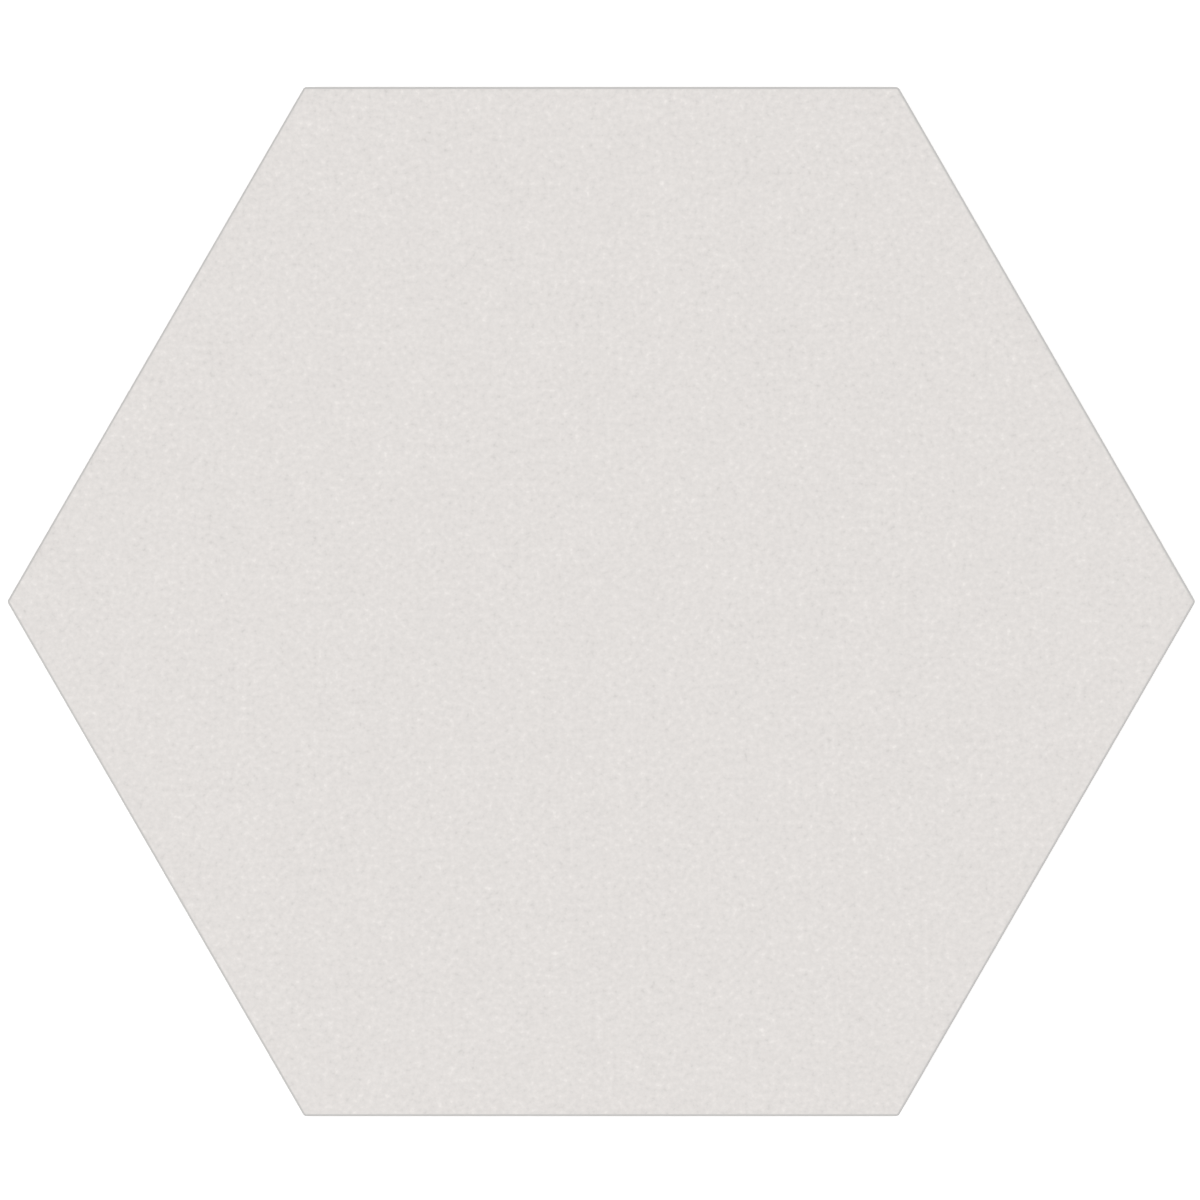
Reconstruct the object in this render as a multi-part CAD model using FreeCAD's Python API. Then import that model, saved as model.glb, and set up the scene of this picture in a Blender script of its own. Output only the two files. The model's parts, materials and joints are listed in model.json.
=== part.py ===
import FreeCAD, Part
import math
import os

# Hexagon floor tile: one pressed and fired porcelain body, lying on its back with its matt face up.
# Frame: millimetres, +Z up out of the face, two corners on the X axis and two sides square to Y.
# The origin is the middle of the bed plane, which is the plane of the ribs on the back.

# Outline and thickness: between opposite sides of the face, and from the bed plane up to the face
ACROSS_FLATS = 230.0
THICKNESS = 10.0

# Section of the side, from the face down: rounded arris, upright band, draft towards the back, chamfer
ARRIS_RADIUS = 0.8
UPRIGHT_BAND = 4.5
SIDE_DRAFT = 0.5
BACK_CHAMFER = 0.8

# Rounding of the flat face's corners, inside the arris. No level of the outline has sharper corners
FACE_CORNER_RADIUS = 0.2

# Keying relief of the back: a honeycomb of shallow drafted pockets inside a plain border
POCKET_ACROSS_FLATS = 18.5
POCKET_DEPTH = 0.7
POCKET_DRAFT = 0.5
RIB_WIDTH = 3.5
BACK_BORDER = 8.0

SIDES = 6
HALF_SECTOR = math.pi / SIDES
APOTHEM = ACROSS_FLATS / 2
# The arris runs round the face's corners, so the outline's corners are rounder by its radius
CORNER_RADIUS = FACE_CORNER_RADIUS + ARRIS_RADIUS
PARTS_FOLDER = "parts"


def to_corner(apothem):
    """Distance from a hexagon's middle to its sharp corner."""
    return apothem / math.cos(HALF_SECTOR)


def polar_point(centre, distance, angle, z):
    """The point at that distance and angle from centre, an x and a y, at height z."""
    x, y = centre
    return FreeCAD.Vector(x + distance * math.cos(angle), y + distance * math.sin(angle), z)


def corner_angles(first):
    """The directions of a hexagon's six corners, from the first one on."""
    return [first + 2 * HALF_SECTOR * i for i in range(SIDES)]


def rounded_outline(inset, z):
    """The tile's outline at height z, moved in by inset. Its round corners keep their centres."""
    radius = max(CORNER_RADIUS - inset, FACE_CORNER_RADIUS)
    arcs = []
    for angle in corner_angles(0.0):
        middle = polar_point((0.0, 0.0), to_corner(APOTHEM - inset - radius), angle, z)
        turns = (-HALF_SECTOR, 0.0, HALF_SECTOR)
        on_arc = [polar_point((middle.x, middle.y), radius, angle + turn, z) for turn in turns]
        arcs.append(Part.Arc(*on_arc).toShape())
    edges = []
    for arc, following in zip(arcs, arcs[1:] + arcs[:1]):
        edges += [arc, Part.makeLine(arc.Vertexes[-1].Point, following.Vertexes[0].Point)]
    return Part.Wire(edges)


def tile_body():
    """The tile with a plain back: chamfer, drafted foot, upright band and rounded arris."""
    foot = rounded_outline(SIDE_DRAFT + BACK_CHAMFER, 0.0)
    over_chamfer = rounded_outline(SIDE_DRAFT, BACK_CHAMFER)
    under_band = rounded_outline(0.0, THICKNESS - UPRIGHT_BAND)
    chamfered = Part.makeLoft([foot, over_chamfer], True, True)
    drafted = Part.makeLoft([over_chamfer, under_band], True, True)
    upright = Part.Face(under_band).extrude(FreeCAD.Vector(0, 0, UPRIGHT_BAND))
    body = chamfered.fuse([drafted, upright]).removeSplitter()
    face = max(body.Faces, key=lambda each: each.CenterOfMass.z)
    return body.makeFillet(ARRIS_RADIUS, face.Edges)


def pocket_corners(centre, across_flats, z):
    """Corners of a sharp hexagon that points towards +Y, as the pockets do."""
    distance = to_corner(across_flats / 2)
    return [polar_point(centre, distance, angle, z) for angle in corner_angles(math.pi / 2)]


def flat_face(points):
    """The flat face with these corners."""
    return Part.Face(Part.makePolygon(points + points[:1]))


def pocket(centre):
    """One pocket of the relief, wider at its mouth so that the punch lets go."""
    mouth = pocket_corners(centre, POCKET_ACROSS_FLATS, 0.0)
    floor = pocket_corners(centre, POCKET_ACROSS_FLATS - 2 * POCKET_DRAFT, POCKET_DEPTH)
    walls = []
    for i in range(SIDES):
        following = (i + 1) % SIDES
        walls.append(flat_face([mouth[i], mouth[following], floor[following], floor[i]]))
    return Part.Solid(Part.Shell([flat_face(mouth), flat_face(floor)] + walls))


def pocket_centres():
    """Middles of the honeycomb's cells, in rows along X. The tile's own middle is left flat."""
    pitch = POCKET_ACROSS_FLATS + RIB_WIDTH
    row_spacing = pitch * math.cos(HALF_SECTOR)
    room = APOTHEM - BACK_BORDER - to_corner(POCKET_ACROSS_FLATS / 2)
    rings = math.floor(room / row_spacing)
    centres = []
    for row in range(-rings, rings + 1):
        cells = 2 * rings + 1 - abs(row)
        for cell in range(cells):
            along = cell - (cells - 1) / 2
            if row != 0 or along != 0:
                centres.append((along * pitch, row * row_spacing))
    return centres


def hexagon_tile():
    """The whole tile, with the relief pressed into its back."""
    return tile_body().cut([pocket(centre) for centre in pocket_centres()])


os.makedirs(PARTS_FOLDER, exist_ok=True)
tile = hexagon_tile()
tile.exportStep(os.path.join(PARTS_FOLDER, "hexagon_tile.step"))
print(f"hexagon_tile: {len(tile.Solids)} solid, {tile.Volume / 1000:.1f} cm3")
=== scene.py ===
"""A hexagonal porcelain floor tile lying on a white floor, seen from straight above as in the photo."""
import json
import math

import bpy
from mathutils import Matrix, Vector, noise
from mathutils.geometry import delaunay_2d_cdt


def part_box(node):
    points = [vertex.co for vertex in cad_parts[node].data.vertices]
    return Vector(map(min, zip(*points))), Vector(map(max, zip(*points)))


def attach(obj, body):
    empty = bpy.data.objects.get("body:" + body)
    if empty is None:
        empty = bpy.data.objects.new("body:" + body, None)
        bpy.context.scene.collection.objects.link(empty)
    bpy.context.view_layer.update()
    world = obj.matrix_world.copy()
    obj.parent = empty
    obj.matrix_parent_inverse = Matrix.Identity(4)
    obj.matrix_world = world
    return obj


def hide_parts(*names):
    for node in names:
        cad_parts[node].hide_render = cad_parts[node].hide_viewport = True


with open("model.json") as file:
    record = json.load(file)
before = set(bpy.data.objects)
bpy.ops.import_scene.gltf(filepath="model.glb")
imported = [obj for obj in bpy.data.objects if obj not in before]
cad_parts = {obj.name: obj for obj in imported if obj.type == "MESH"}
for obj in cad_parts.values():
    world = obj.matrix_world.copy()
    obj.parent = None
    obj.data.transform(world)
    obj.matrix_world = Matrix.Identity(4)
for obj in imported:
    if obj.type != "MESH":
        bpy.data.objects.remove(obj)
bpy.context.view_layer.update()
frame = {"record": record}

# Lengths are in metres
MM = 0.001

# The tile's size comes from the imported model
NODE = "hexagon_tile"
BODY = "root"
LOWEST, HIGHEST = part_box(NODE)
APOTHEM = (HIGHEST.y - LOWEST.y) / 2
TOP = HIGHEST.z
BED = LOWEST.z
SIDES = 6
HALF_SECTOR = math.pi / SIDES

# Corners and section of the side, as in the CAD part
CORNER_RADIUS = 1.0 * MM
SHARPEST_CORNER = 0.2 * MM
ARRIS_RADIUS = 0.8 * MM
UPRIGHT_BAND = 4.5 * MM
SIDE_DRAFT = 0.5 * MM
BACK_CHAMFER = 0.8 * MM

# Keying relief of the back, as in the CAD part, with its pressed edges softened
POCKET_ACROSS_FLATS = 18.5 * MM
POCKET_DEPTH = 0.7 * MM
POCKET_DRAFT = 0.5 * MM
POCKET_CORNER = 1.2 * MM
RIB_WIDTH = 3.5 * MM
BACK_BORDER = 8.0 * MM
SOFT_EDGE = 0.25 * MM

# Fineness of the mesh
ARRIS_STEPS = 8
SOFT_STEPS = 3
CORNER_STEPS = 6
POCKET_CORNER_STEPS = 3
FACE_PITCH = 2.0 * MM
SAME_POINT = 0.001 * MM

# The triangulation's output type that has the triangles inside the given rings, and no others
INSIDE_RINGS = 1

# The fired face is not quite level: each wave's length and height, which fade out towards the arris.
# They are lowered by their highest crest, so that no point of the face is over the CAD part's
FACE_WAVES = ((14.0 * MM, 0.020 * MM), (6.0 * MM, 0.008 * MM))
WAVE_CREST = 0.021 * MM
LEVEL_MARGIN = 4.0 * MM

# Where the flattened face and back lie on the map that the finish is baked to
FACE_ON_MAP = (0.435, 0.385)
FACE_MAP_SCALE = 3.0
BACK_ON_MAP = (0.808, 0.833)
BACK_MAP_SCALE = 1.43

# Colours: the face has the record's own, and the rest a share of each of its channels
PORCELAIN = frame["record"]["materials"][0]["base_color"][:3]
# The arris's shares are partly its own greyer tone and partly painted shade from its rounding
ARRIS_TONE_AND_SHADE_SHARES = (0.80, 0.82, 0.825)
SIDE_SHARES = (0.86, 0.855, 0.84)
BACK_SHARES = (0.90, 0.88, 0.85)
WASH_SHARE = 1.06

# Each finish follows a noise from 0 to 1, which seldom leaves the range below. Its tones are pairs
# of the noise's value and the colour's share there, and its roughness goes from the first number to
# the second one over the range. Its bumps are as high as the whole noise
NOISE_RANGE = (0.3, 0.7)

# The face: a fine grain, and clouds that shift its tones a little
FACE_GRAIN = 1.22 * MM
FACE_CLOUD = 9.0 * MM
FACE_CLOUD_SHARE = 0.12
FACE_TONES = ((0.20, 0.84), (0.36, 0.959), (0.50, 1.0), (0.64, 1.044), (0.80, 1.16))
FACE_ROUGHNESS = (0.58, 0.72)
FACE_BUMPS = 0.03 * MM

# The arris is greyer, partly its own tone and partly painted shade for the darkening that its rounding gets
# from the light above: from the first depth under the face on, and fully from the second one on
ARRIS_TONE_AND_SHADE_DEPTHS = (0.045 * MM, 0.075 * MM)

# The side: upright lines that the die drew, which are a noise drawn out along Z, and clouds
SIDE_LINE = 0.7 * MM
SIDE_LINE_SCALE = (1.0, 1.0, 0.12)
SIDE_CLOUD = 6.0 * MM
SIDE_CLOUD_SHARE = 0.6
SIDE_TONES = ((0.30, 0.93), (0.50, 1.0), (0.70, 1.05))
SIDE_ROUGHNESS = (0.62, 0.78)
SIDE_BUMPS = 0.05 * MM

# The back: a rougher grain
BACK_GRAIN = 1.1 * MM
BACK_TONES = ((0.25, 0.90), (0.50, 1.0), (0.75, 1.06))
BACK_ROUGHNESS = (0.74, 0.90)
BACK_BUMPS = 0.08 * MM

# Kiln wash on the ribs, in streaks along X. Its amount goes from the first number to the second one
# over the streaks' range, and it fades out from the first height over the bed plane to the second
STREAK = 5.0 * MM
STREAK_SCALE = (0.15, 1.0, 1.0)
STREAK_RANGE = (0.42, 0.62)
WASH_AMOUNTS = (0.15, 0.9)
WASH_HEIGHTS = (0.10 * MM, 0.45 * MM)

# The photo's frame in pixels: its side, the tile's size across flats and where the tile's middle is
IMAGE_SIDE = 1200
TILE_ACROSS_FLATS_PX = 1029.7
TILE_MIDDLE_PX = (601.3, 601.6)
LENS = 200.0
SENSOR = 36.0

# Light that the level face gets from the dome and from each softbox. At a sum of 1, a colour
# renders as it is written
DOME_LEVEL = 0.53
OVERHEAD_BOX_LEVEL = 0.45
OVERHEAD_BOX_PLACE = Vector((0.0, 0.0, 5.0))
OVERHEAD_BOX_SIZE = 3.2
SIDE_BOX_LEVEL = 0.04
SIDE_BOX_PLACE = Vector((-3.0, -2.0, 3.0))
SIDE_BOX_SIZE = 1.5

# The floor: its own white, and the glow that lifts it to the photo's white where it is seen
FLOOR_SIDE = 8.0
FLOOR_GAP = 0.05 * MM
FLOOR_WHITE = 0.84
FLOOR_LIFT = 0.40


def polar(distance, angle):
    """The point at that distance and angle from the middle."""
    return Vector((distance * math.cos(angle), distance * math.sin(angle)))


def to_corner(apothem):
    """Distance from a hexagon's middle to its sharp corner."""
    return apothem / math.cos(HALF_SECTOR)


def side_distance(point):
    """How far out a point is, measured square to the tile's nearest side."""
    angles = [HALF_SECTOR * (2 * i + 1) for i in range(SIDES)]
    return max(point.dot(polar(1.0, angle)) for angle in angles)


def outline(apothem, radius, corner_steps, side_steps, first=0.0):
    """A hexagon with round corners, anticlockwise from the corner at first."""
    arcs = []
    for i in range(SIDES):
        angle = first + 2 * HALF_SECTOR * i
        middle = polar(to_corner(apothem - radius), angle)
        turns = [HALF_SECTOR * (2 * j / corner_steps - 1) for j in range(corner_steps + 1)]
        arcs.append([middle + polar(radius, angle + turn) for turn in turns])
    ring = []
    for arc, following in zip(arcs, arcs[1:] + arcs[:1]):
        ring += arc
        ring += [arc[-1].lerp(following[0], j / side_steps) for j in range(1, side_steps)]
    return ring


def rounded(before, corner, after, trim, steps):
    """Points of the arc that rounds a corner off, from trim before it to trim after it."""
    to_before = (before - corner).normalized()
    to_after = (after - corner).normalized()
    half = to_before.angle(to_after) / 2
    middle = corner + (to_before + to_after).normalized() * trim / math.cos(half)
    start = corner + to_before * trim - middle
    turn = (math.pi - 2 * half) * math.copysign(1, to_after.cross(to_before))
    return [middle + Matrix.Rotation(turn * j / steps, 2) @ start for j in range(steps + 1)]


def section(stations):
    """A section line through stations, which are points with a trim and steps to round them off by."""
    line = [stations[0][0]]
    for (before, _, _), (corner, trim, steps), (after, _, _) in zip(stations, stations[1:], stations[2:]):
        line += rounded(before, corner, after, trim, steps) if steps else [corner]
    line.append(stations[-1][0])
    return line


def side_section():
    """The tile's side as points of inset and height, from the face's edge round to the bed plane."""
    foot = SIDE_DRAFT + BACK_CHAMFER
    return section([
        (Vector((ARRIS_RADIUS + SOFT_EDGE, TOP)), 0, 0),
        (Vector((0, TOP)), ARRIS_RADIUS, ARRIS_STEPS),
        (Vector((0, TOP - UPRIGHT_BAND)), 0, 0),
        (Vector((SIDE_DRAFT, BED + BACK_CHAMFER)), SOFT_EDGE, SOFT_STEPS),
        (Vector((foot, BED)), SOFT_EDGE, SOFT_STEPS),
        (Vector((foot + 2 * SOFT_EDGE, BED)), 0, 0),
    ])


def pocket_section():
    """A pocket's wall as points of inset from its mouth and height, from the ribs up to its floor."""
    return section([
        (Vector((-2 * SOFT_EDGE, BED)), 0, 0),
        (Vector((0, BED)), SOFT_EDGE, SOFT_STEPS),
        (Vector((POCKET_DRAFT, BED + POCKET_DEPTH)), SOFT_EDGE, SOFT_STEPS),
        (Vector((POCKET_DRAFT + 2 * SOFT_EDGE, BED + POCKET_DEPTH)), 0, 0),
    ])


def pocket_centres():
    """Middles of the honeycomb's cells, in rows along X. The tile's own middle is left flat."""
    pitch = POCKET_ACROSS_FLATS + RIB_WIDTH
    row_spacing = pitch * math.cos(HALF_SECTOR)
    room = APOTHEM - BACK_BORDER - to_corner(POCKET_ACROSS_FLATS / 2)
    rings = math.floor(room / row_spacing)
    centres = []
    for row in range(-rings, rings + 1):
        cells = 2 * rings + 1 - abs(row)
        for cell in range(cells):
            along = cell - (cells - 1) / 2
            if row != 0 or along != 0:
                centres.append(Vector((along * pitch, row * row_spacing)))
    return centres


def face_height(point):
    """Height of the uneven face at a point. It is level at the arris."""
    reach = APOTHEM - ARRIS_RADIUS - side_distance(point)
    fade = min(max(reach / LEVEL_MARGIN, 0.0), 1.0)
    waves = 0.0
    for i, (length, height) in enumerate(FACE_WAVES):
        waves += height * noise.noise((point.x / length, point.y / length, i))
    return TOP + fade * (waves - WAVE_CREST)


def face_lattice(reach):
    """A lattice of points over the face, as far out as reach, square to the sides."""
    row_spacing = FACE_PITCH * math.cos(HALF_SECTOR)
    rows = math.ceil(reach / row_spacing)
    columns = math.ceil(to_corner(reach) / FACE_PITCH)
    points = []
    for row in range(-rows, rows + 1):
        for column in range(-columns, columns + 1):
            point = Vector(((column + row % 2 / 2) * FACE_PITCH, row * row_spacing))
            if side_distance(point) < reach:
                points.append(point)
    return points


class Skin:
    """The tile's closed surface while it is made: points, faces, and each face's finish and map place."""

    def __init__(self):
        self.points = []
        self.faces = []
        self.finishes = []
        self.on_map = []

    def add_points(self, places, heights):
        """Adds points and returns their numbers."""
        first = len(self.points)
        self.points += [(place.x, place.y, height) for place, height in zip(places, heights)]
        return list(range(first, len(self.points)))

    def add_face(self, corners, finish, places):
        """Adds one face with the flattened places of its corners."""
        self.faces.append(corners)
        self.finishes.append(finish)
        self.on_map += places

    def bridge(self, outer, inner, finish, outer_places, inner_places):
        """Joins two rings of as many points with a band of faces."""
        count = len(outer)
        for i in range(count):
            j = (i + 1) % count
            self.add_face([outer[i], outer[j], inner[j], inner[i]], finish,
                          [outer_places[i], outer_places[j], inner_places[j], inner_places[i]])

    def fill(self, rings, loose, finish, to_map, turned_over=False):
        """Fills the plane inside the first ring, outside the other rings, through the loose points."""
        numbers = [number for ring in rings for number in ring] + loose
        owners = [i for i, ring in enumerate(rings) for _ in ring] + [0] * len(loose)
        edges = []
        start = 0
        for ring in rings:
            edges += [(start + i, start + (i + 1) % len(ring)) for i in range(len(ring))]
            start += len(ring)
        flat = [Vector(self.points[number][:2]) for number in numbers]
        _, _, triangles, sources, _, _ = delaunay_2d_cdt(flat, edges, [], INSIDE_RINGS, SAME_POINT)
        for triangle in triangles:
            corners = [sources[i][0] for i in triangle]
            owned_by = {owners[i] for i in corners}
            # A triangle with all its corners on one inner ring lies inside that ring
            if len(owned_by) == 1 and owned_by != {0}:
                continue
            if turned_over:
                corners.reverse()
            self.add_face([numbers[i] for i in corners], finish, [to_map(flat[i]) for i in corners])


def face_place(point):
    """Where a flattened point of the face or side lies on the map."""
    return Vector(FACE_ON_MAP) + point * FACE_MAP_SCALE


def back_place(point):
    """Where a point of the back lies on the map, as seen from below."""
    return Vector(BACK_ON_MAP) + Vector((-point.x, point.y)) * BACK_MAP_SCALE


def add_side(skin):
    """Adds the arris and side, ring by ring, and returns the rings at the face's edge and the bed plane."""
    line = side_section()
    side_steps = round(to_corner(APOTHEM) / FACE_PITCH)
    flat_edge = APOTHEM - line[0].x
    travelled = 0.0
    rings = []
    places = []
    for i, (inset, height) in enumerate(line):
        travelled += (line[i] - line[i - 1]).length if i else 0.0
        radius = max(CORNER_RADIUS - inset, SHARPEST_CORNER)
        ring = outline(APOTHEM - inset, radius, CORNER_STEPS, side_steps)
        rings.append(skin.add_points(ring, [height] * len(ring)))
        flat = outline(flat_edge + travelled, SHARPEST_CORNER + travelled, CORNER_STEPS, side_steps)
        places.append([face_place(point) for point in flat])
    for i in range(len(rings) - 1):
        finish = "face" if i <= ARRIS_STEPS else "side"
        skin.bridge(rings[i + 1], rings[i], finish, places[i + 1], places[i])
    return rings[0], rings[-1]


def add_pocket(skin, centre):
    """Adds one pocket of the relief, with its floor, and returns the ring round its mouth."""
    rings = []
    places = []
    for inset, height in pocket_section():
        radius = max(POCKET_CORNER - inset, SHARPEST_CORNER)
        flat = outline(POCKET_ACROSS_FLATS / 2 - inset, radius, POCKET_CORNER_STEPS, 1, math.pi / 2)
        ring = [centre + point for point in flat]
        rings.append(skin.add_points(ring, [height] * len(ring)))
        places.append([back_place(point) for point in ring])
    for i in range(len(rings) - 1):
        skin.bridge(rings[i + 1], rings[i], "back", places[i + 1], places[i])
    skin.add_face(rings[-1][::-1], "back", places[-1][::-1])
    return rings[0]


def tile_skin():
    """The whole tile: face, arris, side and back with its relief."""
    skin = Skin()
    face_edge, foot = add_side(skin)
    lattice = face_lattice(APOTHEM - ARRIS_RADIUS - FACE_PITCH)
    loose = skin.add_points(lattice, [face_height(point) for point in lattice])
    skin.fill([face_edge], loose, "face", face_place)
    mouths = [add_pocket(skin, centre) for centre in pocket_centres()]
    skin.fill([foot] + mouths, [], "back", back_place, turned_over=True)
    return skin


def tile_piece(finishes):
    """The tile's object, with its finishes by name."""
    skin = tile_skin()
    mesh = bpy.data.meshes.new("porcelain_tile")
    mesh.from_pydata(skin.points, [], skin.faces)
    names = list(finishes)
    for material in finishes.values():
        mesh.materials.append(material)
    mesh.polygons.foreach_set("material_index", [names.index(finish) for finish in skin.finishes])
    layer = mesh.uv_layers.new(name="OFBake")
    layer.uv.foreach_set("vector", [value for place in skin.on_map for value in place])
    mesh.shade_smooth()
    mesh.validate(verbose=True)
    piece = bpy.data.objects.new("porcelain_tile", mesh)
    bpy.context.scene.collection.objects.link(piece)
    weighted = piece.modifiers.new("Level faces stay level", "WEIGHTED_NORMAL")
    weighted.weight = 100
    return piece


def add_node(tree, kind, inputs=None, **settings):
    """Adds a node with its settings. Each input is a value, or a socket that it is linked from."""
    made = tree.nodes.new(kind)
    for name, value in settings.items():
        setattr(made, name, value)
    for name, value in (inputs or {}).items():
        if isinstance(value, bpy.types.NodeSocket):
            tree.links.new(value, made.inputs[name])
        else:
            made.inputs[name].default_value = value
    return made


def grain(tree, place, size, detail=2.0, roughness=0.5):
    """Noise whose features are about size across, from 0 to 1."""
    inputs = {"Vector": place, "Scale": 1.0 / size, "Detail": detail, "Roughness": roughness}
    return add_node(tree, "ShaderNodeTexNoise", inputs).outputs["Fac"]


def scaled(tree, place, scale):
    """The coordinates times a scale along each axis. A scale under 1 draws a noise out."""
    return add_node(tree, "ShaderNodeMapping", {"Vector": place, "Scale": scale}).outputs["Vector"]


def height_of(tree, place):
    """The height in the coordinates."""
    return add_node(tree, "ShaderNodeSeparateXYZ", {"Vector": place}).outputs["Z"]


def maths(tree, operation, *values):
    """The result of a Math node."""
    made = add_node(tree, "ShaderNodeMath", dict(enumerate(values)), operation=operation)
    return made.outputs["Value"]


def spread(tree, value, low, high, to_low, to_high):
    """The value brought from one range to another."""
    inputs = {"Value": value, "From Min": low, "From Max": high, "To Min": to_low, "To Max": to_high}
    return add_node(tree, "ShaderNodeMapRange", inputs).outputs["Result"]


def mixed(tree, share, colour, other):
    """The colour with a share of another, plain one."""
    inputs = {"Fac": share, "Color1": colour, "Color2": (*other, 1.0)}
    return add_node(tree, "ShaderNodeMixRGB", inputs).outputs["Color"]


def tinted(colour, shares):
    """A colour with each channel times its own share."""
    return tuple(channel * share for channel, share in zip(colour, shares))


def shaded(colour, share):
    """A colour made lighter or darker."""
    return tuple(channel * share for channel in colour)


def toned(tree, value, colour, tones):
    """The colour in lighter and darker tones, each at its value."""
    made = add_node(tree, "ShaderNodeValToRGB", {"Fac": value})
    elements = made.color_ramp.elements
    while len(elements) < len(tones):
        elements.new(0.5)
    for element, (position, share) in zip(elements, tones):
        element.position = position
        element.color = (*shaded(colour, share), 1.0)
    return made.outputs["Color"]


def new_finish(name):
    """A new material, its node tree and the object's own coordinates."""
    material = bpy.data.materials.new(name)
    material.use_nodes = True
    tree = material.node_tree
    place = add_node(tree, "ShaderNodeTexCoord").outputs["Object"]
    return material, tree, place


def coat(tree, colour, relief, roughness, bumps):
    """Gives a material its colour, and roughness and bumps that follow its relief."""
    rough = spread(tree, relief, *NOISE_RANGE, *roughness)
    bump = add_node(tree, "ShaderNodeBump", {"Height": relief, "Distance": bumps, "Strength": 1.0})
    shader = tree.nodes["Principled BSDF"]
    tree.links.new(colour, shader.inputs["Base Color"])
    tree.links.new(rough, shader.inputs["Roughness"])
    tree.links.new(bump.outputs["Normal"], shader.inputs["Normal"])


def face_finish():
    """The matt face: an even off-white with fine darker and lighter specks, greyer on the arris, partly its
    own tone and partly painted shade.
    """
    material, tree, place = new_finish("porcelain_face")
    fine = grain(tree, place, FACE_GRAIN, detail=2.0, roughness=0.6)
    cloud = grain(tree, place, FACE_CLOUD, detail=2.0)
    shift = maths(tree, "SUBTRACT", cloud, 0.5)
    clouded = maths(tree, "MULTIPLY_ADD", shift, FACE_CLOUD_SHARE, fine)
    colour = toned(tree, clouded, PORCELAIN, FACE_TONES)
    # Painted shade with the arris's own tone: the colour turns to the arris's grey below the face's level
    start, full = (TOP - depth for depth in ARRIS_TONE_AND_SHADE_DEPTHS)
    arris_tone_and_shade = spread(tree, height_of(tree, place), start, full, 0.0, 1.0)
    with_arris_tone_and_shade = mixed(tree, arris_tone_and_shade, colour, tinted(PORCELAIN, ARRIS_TONE_AND_SHADE_SHARES))
    coat(tree, with_arris_tone_and_shade, fine, FACE_ROUGHNESS, FACE_BUMPS)
    return material


def side_finish():
    """The side: the same porcelain, drawn over by the die in fine upright lines."""
    material, tree, place = new_finish("porcelain_side")
    drawn_out = scaled(tree, place, SIDE_LINE_SCALE)
    lines = grain(tree, drawn_out, SIDE_LINE, detail=3.0, roughness=0.6)
    cloud = grain(tree, place, SIDE_CLOUD, detail=3.0)
    line_part = maths(tree, "MULTIPLY", lines, 1.0 - SIDE_CLOUD_SHARE)
    clouded = maths(tree, "MULTIPLY_ADD", cloud, SIDE_CLOUD_SHARE, line_part)
    colour = toned(tree, clouded, tinted(PORCELAIN, SIDE_SHARES), SIDE_TONES)
    coat(tree, colour, lines, SIDE_ROUGHNESS, SIDE_BUMPS)
    return material


def back_finish():
    """The back: rough biscuit, with streaks of white kiln wash on the ribs."""
    material, tree, place = new_finish("porcelain_back")
    body = grain(tree, place, BACK_GRAIN, detail=3.0, roughness=0.6)
    colour = toned(tree, body, tinted(PORCELAIN, BACK_SHARES), BACK_TONES)
    drawn_out = scaled(tree, place, STREAK_SCALE)
    streaks = grain(tree, drawn_out, STREAK, detail=4.0, roughness=0.65)
    amount = spread(tree, streaks, *STREAK_RANGE, *WASH_AMOUNTS)
    start, end = (BED + height for height in WASH_HEIGHTS)
    on_rib = spread(tree, height_of(tree, place), start, end, 1.0, 0.0)
    wash = maths(tree, "MULTIPLY", on_rib, amount)
    washed = mixed(tree, wash, colour, shaded(PORCELAIN, WASH_SHARE))
    coat(tree, washed, body, BACK_ROUGHNESS, BACK_BUMPS)
    return material


def seen_ray(tree):
    """1 for rays that show a surface as it is: from the camera, in a reflection or through glass."""
    path = add_node(tree, "ShaderNodeLightPath")
    seen = maths(tree, "MAXIMUM", path.outputs["Is Camera Ray"], path.outputs["Is Glossy Ray"])
    return maths(tree, "MAXIMUM", seen, path.outputs["Is Transmission Ray"])


def add_floor():
    """A white floor that shows white and keeps the tile's shadow."""
    half = FLOOR_SIDE / 2
    corners = [(-half, -half), (half, -half), (half, half), (-half, half)]
    mesh = bpy.data.meshes.new("floor")
    mesh.from_pydata([(x, y, BED - FLOOR_GAP) for x, y in corners], [], [range(len(corners))])
    material = bpy.data.materials.new("floor_white")
    material.use_nodes = True
    tree = material.node_tree
    tree.nodes.clear()
    white = (FLOOR_WHITE, FLOOR_WHITE, FLOOR_WHITE, 1.0)
    paint = add_node(tree, "ShaderNodeBsdfDiffuse", {"Color": white})
    lift = maths(tree, "MULTIPLY", seen_ray(tree), FLOOR_LIFT)
    glow = add_node(tree, "ShaderNodeEmission", {"Strength": lift})
    both = add_node(tree, "ShaderNodeAddShader", {0: paint.outputs[0], 1: glow.outputs[0]})
    add_node(tree, "ShaderNodeOutputMaterial", {"Surface": both.outputs[0]})
    mesh.materials.append(material)
    floor = bpy.data.objects.new("floor", mesh)
    bpy.context.scene.collection.objects.link(floor)


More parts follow.
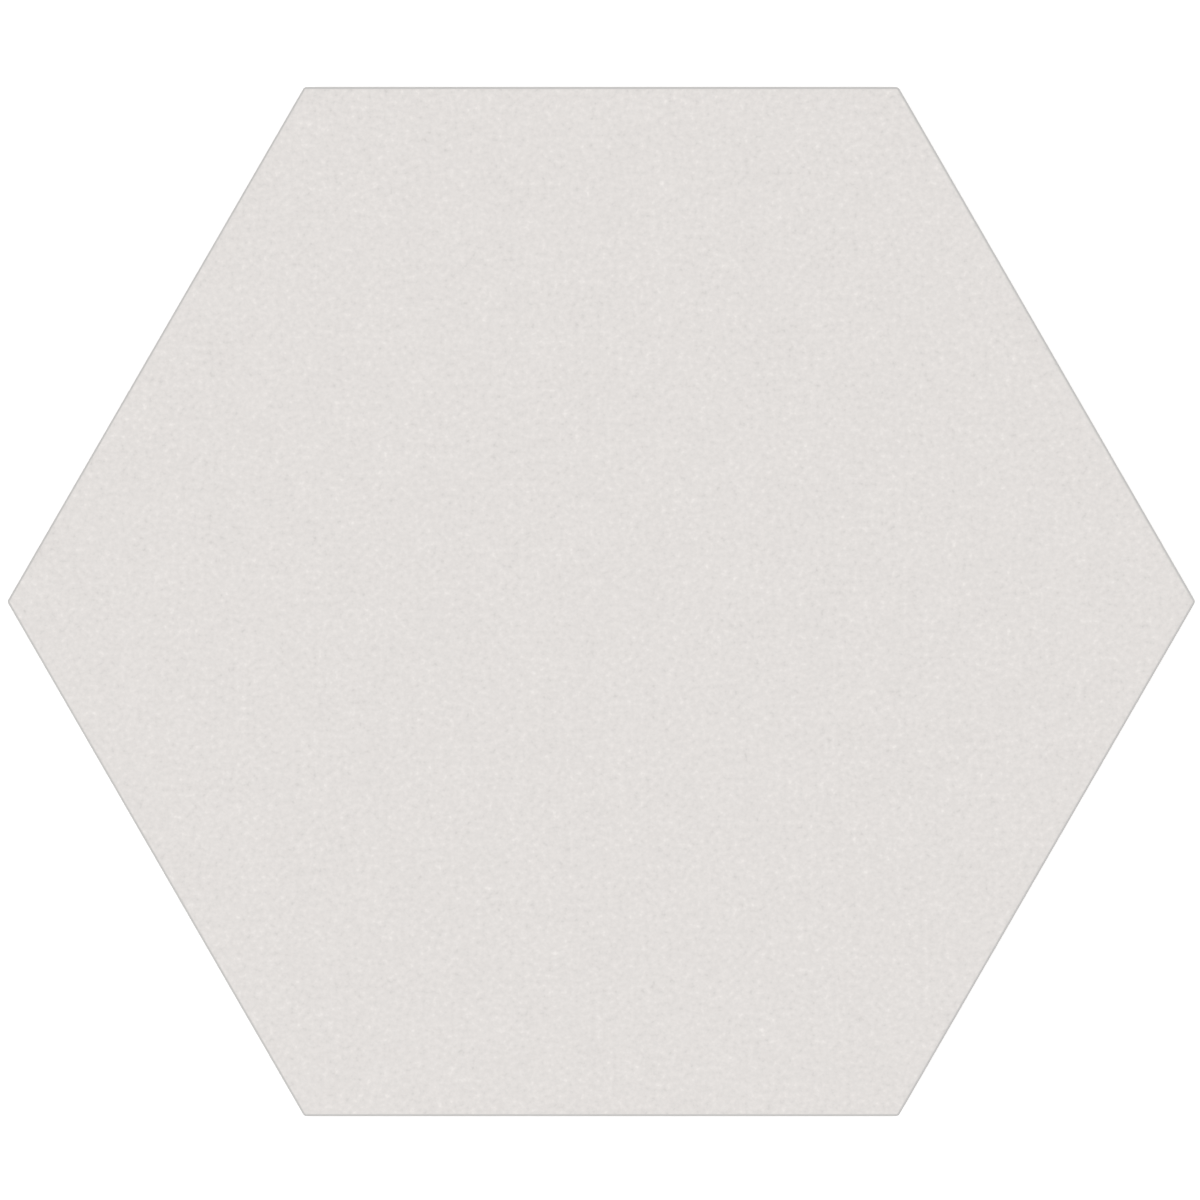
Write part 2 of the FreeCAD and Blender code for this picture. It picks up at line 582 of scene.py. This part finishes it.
def add_world():
    """A dome of even light, which shows white."""
    world = bpy.data.worlds.new("studio")
    bpy.context.scene.world = world
    world.use_nodes = True
    tree = world.node_tree
    level = maths(tree, "MULTIPLY_ADD", seen_ray(tree), 1.0 - DOME_LEVEL, DOME_LEVEL)
    background = tree.nodes["Background"]
    background.inputs["Color"].default_value = (1.0, 1.0, 1.0, 1.0)
    tree.links.new(level, background.inputs["Strength"])


def add_softbox(name, place, size, level):
    """A square lamp aimed at the tile, which gives its level face that level of light."""
    lamp = bpy.data.lights.new(name, "AREA")
    lamp.shape = "SQUARE"
    lamp.size = size
    distance = place.length
    slope = place.z / distance
    # A lamp's strength along its axis is its energy over pi, and a white face shows a pi-th of its light
    lamp.energy = level * math.pi ** 2 * distance ** 2 / slope
    softbox = bpy.data.objects.new(name, lamp)
    softbox.location = place
    softbox.rotation_euler = place.to_track_quat("Z", "Y").to_euler()
    softbox.visible_camera = False
    bpy.context.scene.collection.objects.link(softbox)


def add_camera():
    """A long lens straight above the tile, framed as the photo is."""
    per_pixel = 2 * APOTHEM / TILE_ACROSS_FLATS_PX
    data = bpy.data.cameras.new("camera")
    data.lens = LENS
    data.sensor_width = SENSOR
    camera = bpy.data.objects.new("camera", data)
    middle = IMAGE_SIDE / 2
    camera.location = (
        (middle - TILE_MIDDLE_PX[0]) * per_pixel,
        (TILE_MIDDLE_PX[1] - middle) * per_pixel,
        TOP + IMAGE_SIDE * per_pixel * LENS / SENSOR,
    )
    bpy.context.scene.collection.objects.link(camera)
    bpy.context.scene.camera = camera


finishes = {"face": face_finish(), "side": side_finish(), "back": back_finish()}
tile = tile_piece(finishes)
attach(tile, BODY)
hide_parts(NODE)

add_floor()
add_world()
add_softbox("overhead_softbox", OVERHEAD_BOX_PLACE, OVERHEAD_BOX_SIZE, OVERHEAD_BOX_LEVEL)
add_softbox("side_softbox", SIDE_BOX_PLACE, SIDE_BOX_SIZE, SIDE_BOX_LEVEL)
add_camera()
bpy.context.scene.view_settings.view_transform = "Standard"
